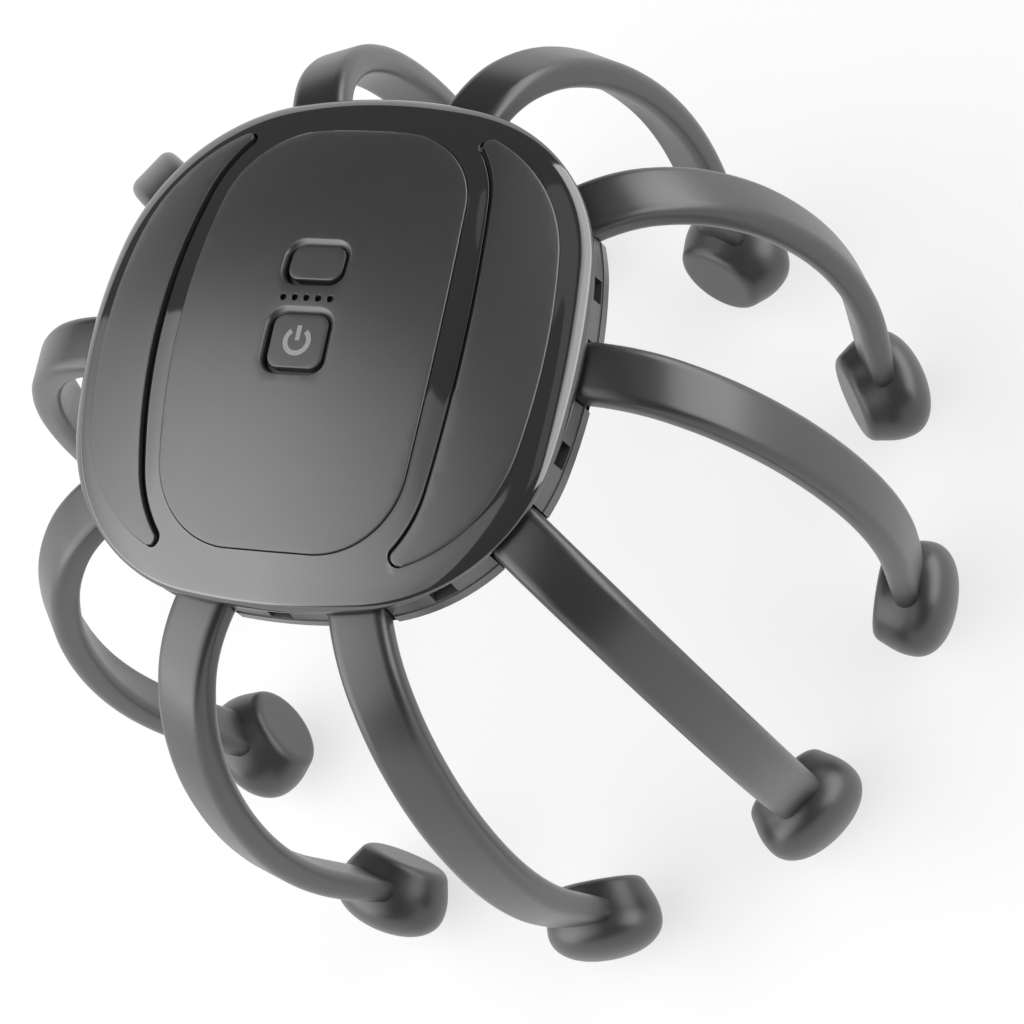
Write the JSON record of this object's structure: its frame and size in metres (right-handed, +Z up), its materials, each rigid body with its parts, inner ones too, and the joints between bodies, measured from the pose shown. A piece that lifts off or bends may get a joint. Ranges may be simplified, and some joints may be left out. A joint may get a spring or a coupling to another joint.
{
  "type": "electric scalp massager",
  "caption": "Domed handheld scalp massager: a rounded-square motor housing with a button panel and two crescent wings, on curved flexible arms that end in round pads.",
  "frame": {"origin": "on the surface that the pads stand on, below the middle of the housing", "axes": "+X to arm_1, across the button panel to the user's right; +Y along the panel to its upper end, where the charging socket is; +Z up"},
  "size_m": [0.166, 0.1598, 0.1397],
  "materials": {
    "gloss_cover": "moulded dark grey, polished",
    "satin_panel": "moulded dark grey, satin",
    "button_plastic": "moulded grey, satin",
    "light_lens": "black tinted light pipe",
    "frame_plastic": "moulded dark grey, fine texture",
    "base_plastic": "moulded dark grey, fine texture",
    "board": "green solder mask",
    "switch_plastic": "black, moulded",
    "white_plastic": "white, moulded",
    "led_body": "clear resin over a pale body",
    "screw_steel": "zinc plated",
    "battery_film": "blue shrink film",
    "red_lead": "insulation",
    "black_lead": "insulation",
    "motor_steel": "plated steel",
    "weight_metal": "sintered heavy metal, dull",
    "port_steel": "nickel plated shell",
    "arm_rubber": "soft elastomer, matte",
    "pad_rubber": "soft silicone, matte"
  },
  "bodies": {
    "housing": {"top_cover": "gloss_cover", "centre_panel": "satin_panel", "left_wing": "satin_panel", "right_wing": "satin_panel", "light_guide": "light_lens", "arm_frame": "frame_plastic", "base_housing": "base_plastic", "circuit_board": "board", "power_switch": "switch_plastic", "mode_switch": "switch_plastic", "indicator_leds": "led_body", "board_screws": "screw_steel", "battery": "battery_film", "battery_leads": "red_lead", "motor_can": "motor_steel", "motor_end_cap": "white_plastic", "motor_strap": "motor_steel", "strap_screws": "screw_steel", "motor_leads": "black_lead", "charge_port": "port_steel", "charge_board": "board", "charge_leads": "black_lead", "base_screws": "screw_steel"},
    "power_key": {"power_button": "button_plastic", "power_plunger": "white_plastic"},
    "mode_key": {"mode_button": "button_plastic", "mode_plunger": "white_plastic"},
    "rotor": {"motor_shaft": "motor_steel", "eccentric_weight": "weight_metal"},
    "arm_1_flex": {"arm_1": "arm_rubber", "pad_1": "pad_rubber"},
    "arm_2_flex": {"arm_2": "arm_rubber", "pad_2": "pad_rubber"},
    "arm_3_flex": {"arm_3": "arm_rubber", "pad_3": "pad_rubber"},
    "arm_4_flex": {"arm_4": "arm_rubber", "pad_4": "pad_rubber"},
    "arm_5_flex": {"arm_5": "arm_rubber", "pad_5": "pad_rubber"},
    "arm_6_flex": {"arm_6": "arm_rubber", "pad_6": "pad_rubber"},
    "arm_7_flex": {"arm_7": "arm_rubber", "pad_7": "pad_rubber"},
    "arm_8_flex": {"arm_8": "arm_rubber", "pad_8": "pad_rubber"},
    "arm_9_flex": {"arm_9": "arm_rubber", "pad_9": "pad_rubber"},
    "arm_10_flex": {"arm_10": "arm_rubber", "pad_10": "pad_rubber"}
  },
  "joints": [
    {"name": "power_press", "type": "slide", "parent": "housing", "child": "power_key", "axis": [0, 0, -1], "range_m": [0, 0.0004], "stiffness_N_per_m": 3000},
    {"name": "mode_press", "type": "slide", "parent": "housing", "child": "mode_key", "axis": [0, 0, -1], "range_m": [0, 0.0004], "stiffness_N_per_m": 3000},
    {"name": "rotor_spin", "type": "hinge", "parent": "housing", "child": "rotor", "pos_m": [-0.005, -0.013, 0.11803], "axis": [1, 0, 0], "continuous": true},
    {"name": "arm_1_bend", "type": "hinge", "parent": "housing", "child": "arm_1_flex", "pos_m": [0.0442, 0, 0.12333], "axis": [0, -1, 0], "range_deg": [-2, 10], "stiffness_Nm_per_rad": 1.5},
    {"name": "arm_2_bend", "type": "hinge", "parent": "housing", "child": "arm_2_flex", "pos_m": [0.03576, 0.02598, 0.12333], "axis": [0.5878, -0.809, 0], "range_deg": [-2, 10], "stiffness_Nm_per_rad": 1.5},
    {"name": "arm_3_bend", "type": "hinge", "parent": "housing", "child": "arm_3_flex", "pos_m": [0.01366, 0.04204, 0.12333], "axis": [0.9511, -0.309, 0], "range_deg": [-2, 10], "stiffness_Nm_per_rad": 1.5},
    {"name": "arm_4_bend", "type": "hinge", "parent": "housing", "child": "arm_4_flex", "pos_m": [-0.01366, 0.04204, 0.12333], "axis": [0.9511, 0.309, 0], "range_deg": [-2, 10], "stiffness_Nm_per_rad": 1.5},
    {"name": "arm_5_bend", "type": "hinge", "parent": "housing", "child": "arm_5_flex", "pos_m": [-0.03576, 0.02598, 0.12333], "axis": [0.5878, 0.809, 0], "range_deg": [-2, 10], "stiffness_Nm_per_rad": 1.5},
    {"name": "arm_6_bend", "type": "hinge", "parent": "housing", "child": "arm_6_flex", "pos_m": [-0.0442, 0, 0.12333], "axis": [0, 1, 0], "range_deg": [-2, 10], "stiffness_Nm_per_rad": 1.5},
    {"name": "arm_7_bend", "type": "hinge", "parent": "housing", "child": "arm_7_flex", "pos_m": [-0.03576, -0.02598, 0.12333], "axis": [-0.5878, 0.809, 0], "range_deg": [-2, 10], "stiffness_Nm_per_rad": 1.5},
    {"name": "arm_8_bend", "type": "hinge", "parent": "housing", "child": "arm_8_flex", "pos_m": [-0.01366, -0.04204, 0.12333], "axis": [-0.9511, 0.309, 0], "range_deg": [-2, 10], "stiffness_Nm_per_rad": 1.5},
    {"name": "arm_9_bend", "type": "hinge", "parent": "housing", "child": "arm_9_flex", "pos_m": [0.01366, -0.04204, 0.12333], "axis": [-0.9511, -0.309, 0], "range_deg": [-2, 10], "stiffness_Nm_per_rad": 1.5},
    {"name": "arm_10_bend", "type": "hinge", "parent": "housing", "child": "arm_10_flex", "pos_m": [0.03576, -0.02598, 0.12333], "axis": [-0.5878, -0.809, 0], "range_deg": [-2, 10], "stiffness_Nm_per_rad": 1.5}
  ]
}
